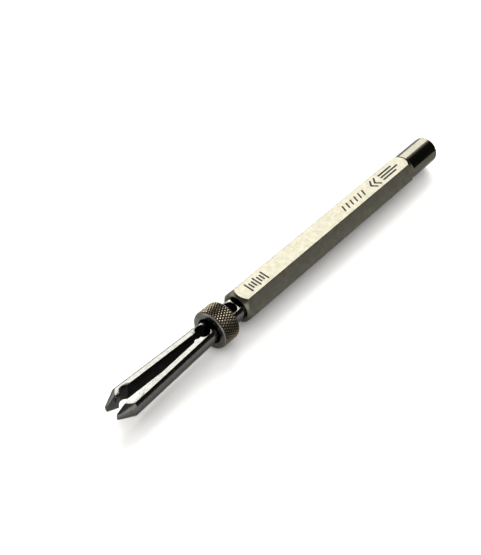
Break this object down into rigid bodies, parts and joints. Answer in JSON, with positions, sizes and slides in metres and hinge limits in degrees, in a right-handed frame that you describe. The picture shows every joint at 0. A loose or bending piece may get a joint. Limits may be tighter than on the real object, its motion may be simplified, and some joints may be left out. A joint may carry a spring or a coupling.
{
  "type": "case back opener",
  "caption": "Slim hexagonal watchmaker's handle with a forked two-point steel blade, a knurled sliding collar that closes the points, and a swivelling finger cap.",
  "frame": {"origin": "under the middle of the tool's length, at the level of the collar's lowest line, which the tool lies on", "axes": "+X along the tool from the points to the swivel cap, +Z out of the marked flat of the handle, +Y to the left prong's side"},
  "size_m": [0.0958, 0.0074, 0.0075],
  "materials": {
    "satin_nickel": "satin nickel over steel bar, finely drawn along its length",
    "polished_steel": "bright polished spring steel",
    "knurled_steel": "diamond knurled and nickel plated",
    "black_steel": "blackened",
    "bronze": "turned bronze",
    "bearing_steel": "hardened and ground",
    "chrome_cap": "mirror polished"
  },
  "bodies": {
    "handle": {"hex_handle": "satin_nickel", "fork_shank": "polished_steel", "fork_set_screw": "black_steel", "bearing_bush": "bronze", "thrust_washer": "bronze", "thrust_ball": "bearing_steel"},
    "left_prong_arm": {"left_prong": "polished_steel"},
    "right_prong_arm": {"right_prong": "polished_steel"},
    "collar": {"knurled_collar": "knurled_steel"},
    "cap": {"swivel_cap": "chrome_cap", "cap_stud": "bearing_steel", "stud_retaining_ring": "black_steel"}
  },
  "joints": [
    {"name": "collar_slide", "type": "slide", "parent": "handle", "child": "collar", "axis": [-1, 0, 0], "range_m": [-0.003, 0.017]},
    {"name": "left_prong_flex", "type": "hinge", "parent": "handle", "child": "left_prong_arm", "pos_m": [-0.0257, 0.00178, 0.00375], "axis": [0, 0, 1], "range_deg": [-0.34, 1.91]},
    {"name": "right_prong_flex", "type": "hinge", "parent": "handle", "child": "right_prong_arm", "pos_m": [-0.0257, -0.00178, 0.00375], "axis": [0, 0, -1], "range_deg": [-0.34, 1.91]},
    {"name": "cap_spin", "type": "hinge", "parent": "handle", "child": "cap", "pos_m": [0.04292, 0, 0.00375], "axis": [1, 0, 0], "continuous": true}
  ],
  "couplings": [
    {"joint": "left_prong_flex", "follows": "collar_slide", "rad_per_m": 1.95},
    {"joint": "right_prong_flex", "follows": "collar_slide", "rad_per_m": 1.95}
  ]
}
